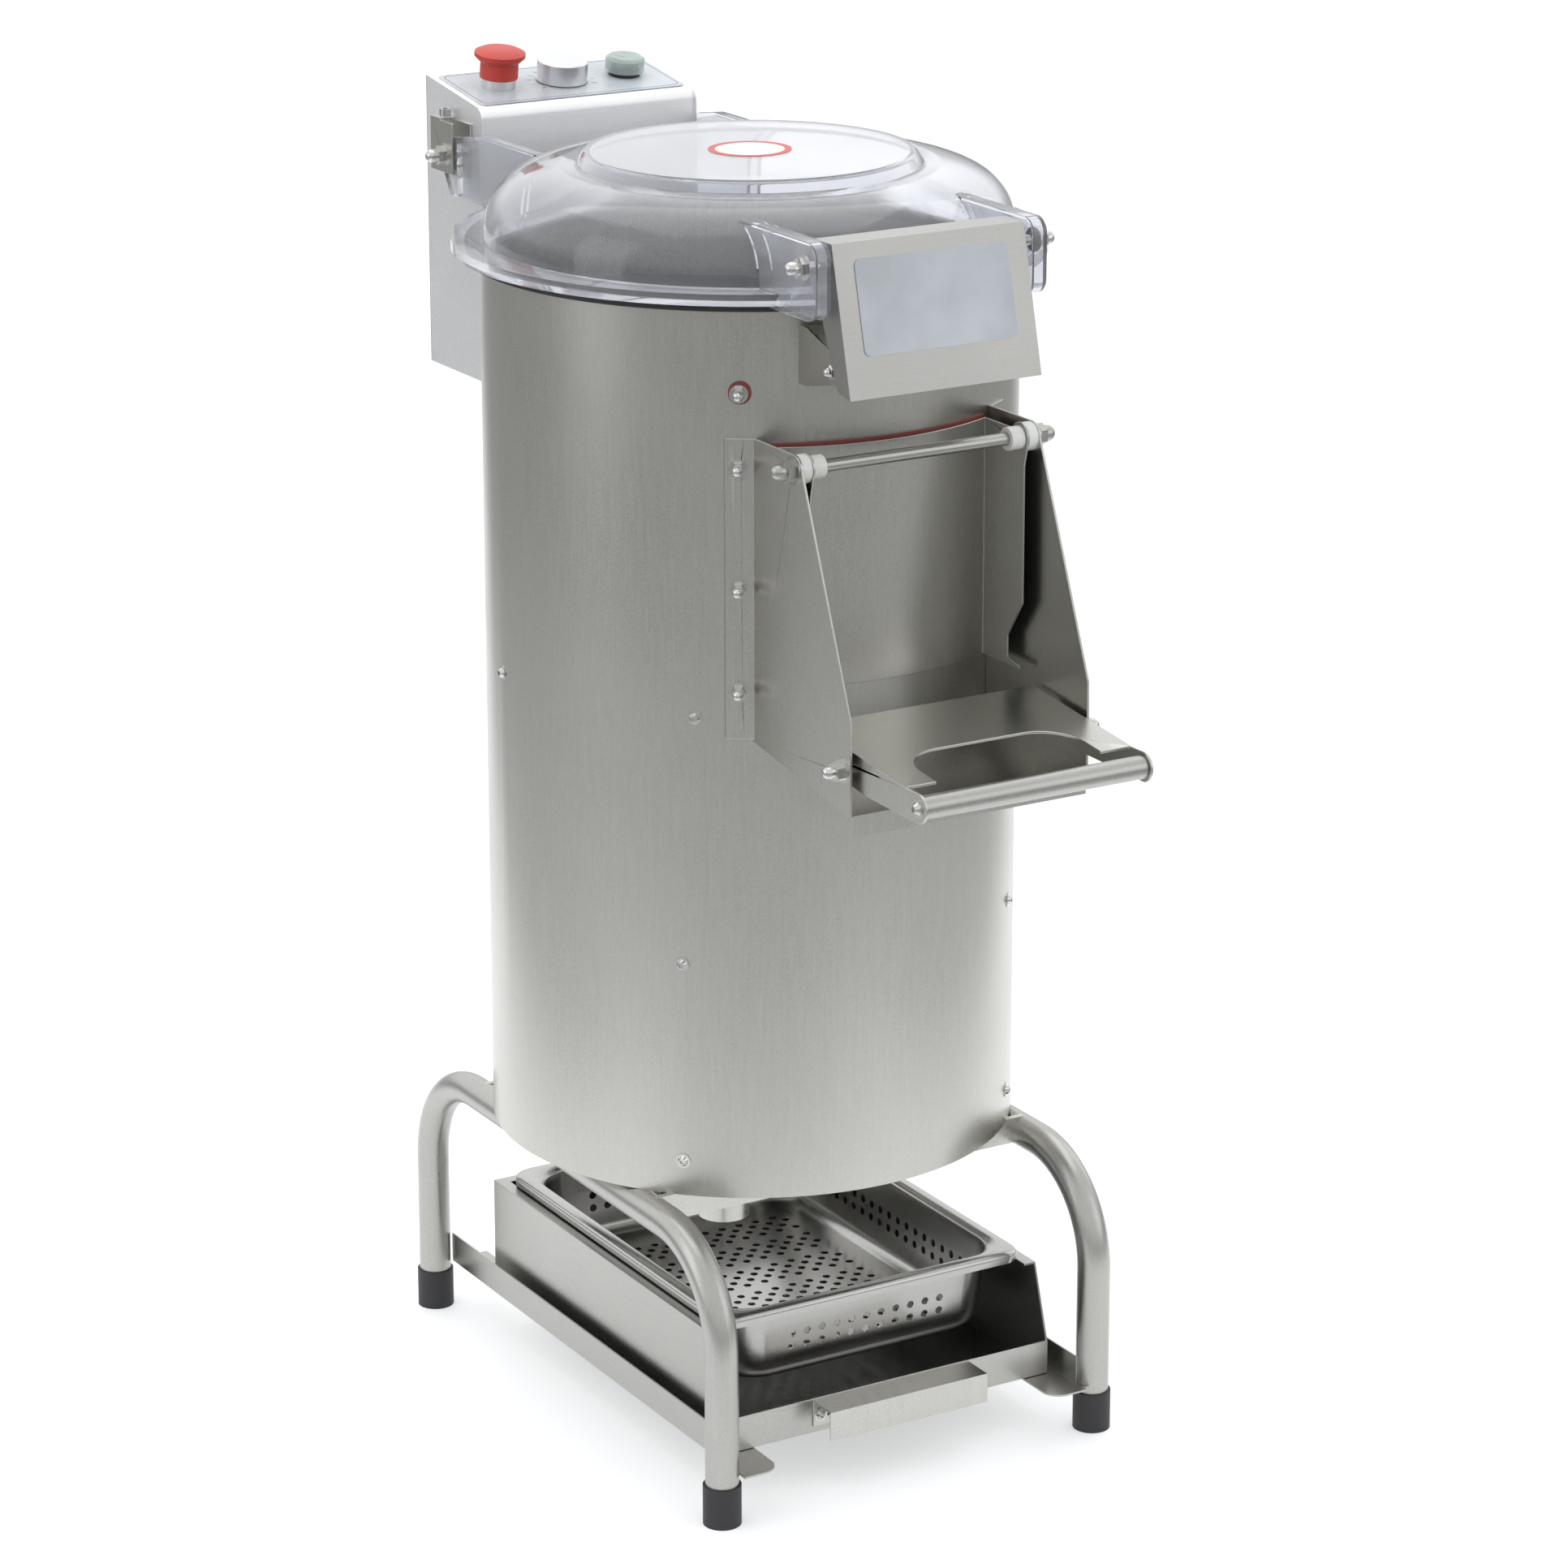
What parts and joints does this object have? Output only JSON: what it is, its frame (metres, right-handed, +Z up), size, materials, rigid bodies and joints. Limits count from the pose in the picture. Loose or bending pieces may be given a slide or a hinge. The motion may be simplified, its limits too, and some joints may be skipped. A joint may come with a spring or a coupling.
{
  "type": "vegetable peeling machine",
  "caption": "Floor-standing abrasive vegetable peeler: steel drum on a tube stand, clear hinged lid, lever-locked discharge chute, control box and slide-out waste tray.",
  "frame": {"origin": "on the floor, at the centre of the machine's bounding box", "axes": "+Z up, -Y towards the discharge chute (front), +X to the right for someone facing the front"},
  "size_m": [0.442, 0.7357, 1.0063],
  "materials": {
    "brushed_steel": "satin, fine vertical grain",
    "bright_steel": "polished",
    "foot_rubber": "matt",
    "gasket_rubber": "semi-matt",
    "seal_red": "matt",
    "clear_plastic": "clear, glossy",
    "abrasive": "coarse grit",
    "cast_housing": "as cast",
    "machined_steel": "turned",
    "belt_rubber": "matt",
    "motor_paint": "satin",
    "panel_foil": "fine brushed, satin",
    "aluminium": "turned",
    "stop_red": "fine texture",
    "start_green": "gloss",
    "dark_plastic": "satin",
    "soft_clear": "soft, translucent",
    "nylon": "translucent white",
    "badge_red": "printed film"
  },
  "bodies": {
    "base": {"left_leg_frame": "brushed_steel", "right_leg_frame": "brushed_steel", "front_cross_beam": "brushed_steel", "rear_cross_beam": "brushed_steel", "rubber_feet": "foot_rubber", "left_tray_rail": "brushed_steel", "right_tray_rail": "brushed_steel", "drum_shell": "brushed_steel", "rim_gasket": "gasket_rubber", "abrasive_liner": "abrasive", "chamber_floor": "brushed_steel", "bottom_cover": "brushed_steel", "drain_pipe": "brushed_steel", "water_inlet": "bright_steel", "shell_screws": "bright_steel", "opening_gasket": "seal_red", "bearing_housing": "cast_housing", "drive_belt": "belt_rubber", "motor_body": "motor_paint", "motor_plate": "brushed_steel", "control_box": "brushed_steel", "rear_cover": "brushed_steel", "panel_overlay": "panel_foil", "stop_collar": "aluminium", "timer_spindle": "machined_steel", "start_ring": "dark_plastic", "cable_gland": "dark_plastic", "left_hinge_bracket": "brushed_steel", "right_hinge_bracket": "brushed_steel", "hinge_bolts": "bright_steel", "catch_bracket": "brushed_steel", "chute_left": "brushed_steel", "chute_right": "brushed_steel", "chute_floor": "brushed_steel", "chute_nuts": "bright_steel", "door_rod": "bright_steel", "door_bushes": "nylon", "lever_pivots": "bright_steel"},
    "lid": {"lid": "clear_plastic", "lid_badge": "badge_red", "latch_bolts": "bright_steel"},
    "latch": {"latch_housing": "brushed_steel", "latch_plate": "panel_foil"},
    "door": {"discharge_door": "brushed_steel"},
    "lever": {"lever_plate": "brushed_steel", "lever_handle": "brushed_steel", "handle_bolts": "bright_steel"},
    "tray": {"waste_tray": "brushed_steel", "tray_pull": "brushed_steel", "pull_screws": "bright_steel"},
    "pan": {"strainer_pan": "brushed_steel"},
    "disc": {"abrasive_disc": "abrasive", "disc_shaft": "machined_steel", "disc_pulley": "cast_housing"},
    "motor_rotor": {"motor_pulley": "machined_steel"},
    "stop_button": {"stop_button": "stop_red"},
    "timer_knob": {"timer_knob": "aluminium"},
    "start_button": {"start_button": "start_green", "start_cap": "soft_clear"}
  },
  "joints": [
    {"name": "lid_hinge", "type": "hinge", "parent": "base", "child": "lid", "pos_m": [0, 0.31165, 0.9268], "axis": [-1, 0, 0], "range_deg": [0, 60]},
    {"name": "latch_hinge", "type": "hinge", "parent": "lid", "child": "latch", "pos_m": [0, -0.20835, 0.9298], "axis": [-1, 0, 0], "range_deg": [0, 45]},
    {"name": "door_hinge", "type": "hinge", "parent": "base", "child": "door", "pos_m": [0, -0.20135, 0.785], "axis": [-1, 0, 0], "range_deg": [0, 32]},
    {"name": "lever_hinge", "type": "hinge", "parent": "base", "child": "lever", "pos_m": [0, -0.26735, 0.5835], "axis": [-1, 0, 0], "range_deg": [0, 13]},
    {"name": "tray_slide", "type": "slide", "parent": "base", "child": "tray", "axis": [0, -1, 0], "range_m": [0, 0.34]},
    {"name": "pan_lift", "type": "slide", "parent": "tray", "child": "pan", "axis": [0, 0, 1], "range_m": [0, 0.06]},
    {"name": "disc_spin", "type": "hinge", "parent": "base", "child": "disc", "pos_m": [0, 0.02865, 0.59], "axis": [0, 0, 1], "continuous": true},
    {"name": "motor_spin", "type": "hinge", "parent": "base", "child": "motor_rotor", "pos_m": [0.08488, 0.11062, 0.43], "axis": [0, 0, 1], "continuous": true},
    {"name": "stop_press", "type": "slide", "parent": "base", "child": "stop_button", "axis": [0, 0.1495, -0.9888], "range_m": [0, 0.005], "stiffness_N_per_m": 800, "springref_m": -0.003},
    {"name": "timer_turn", "type": "hinge", "parent": "base", "child": "timer_knob", "pos_m": [0, 0.32065, 0.97304], "axis": [0, 0.1495, -0.9888], "range_deg": [0, 300]},
    {"name": "start_press", "type": "slide", "parent": "base", "child": "start_button", "axis": [0, 0.1495, -0.9888], "range_m": [0, 0.003], "stiffness_N_per_m": 400, "springref_m": -0.002}
  ],
  "couplings": [
    {"joint": "motor_spin", "follows": "disc_spin", "ratio": 2.8571}
  ]
}
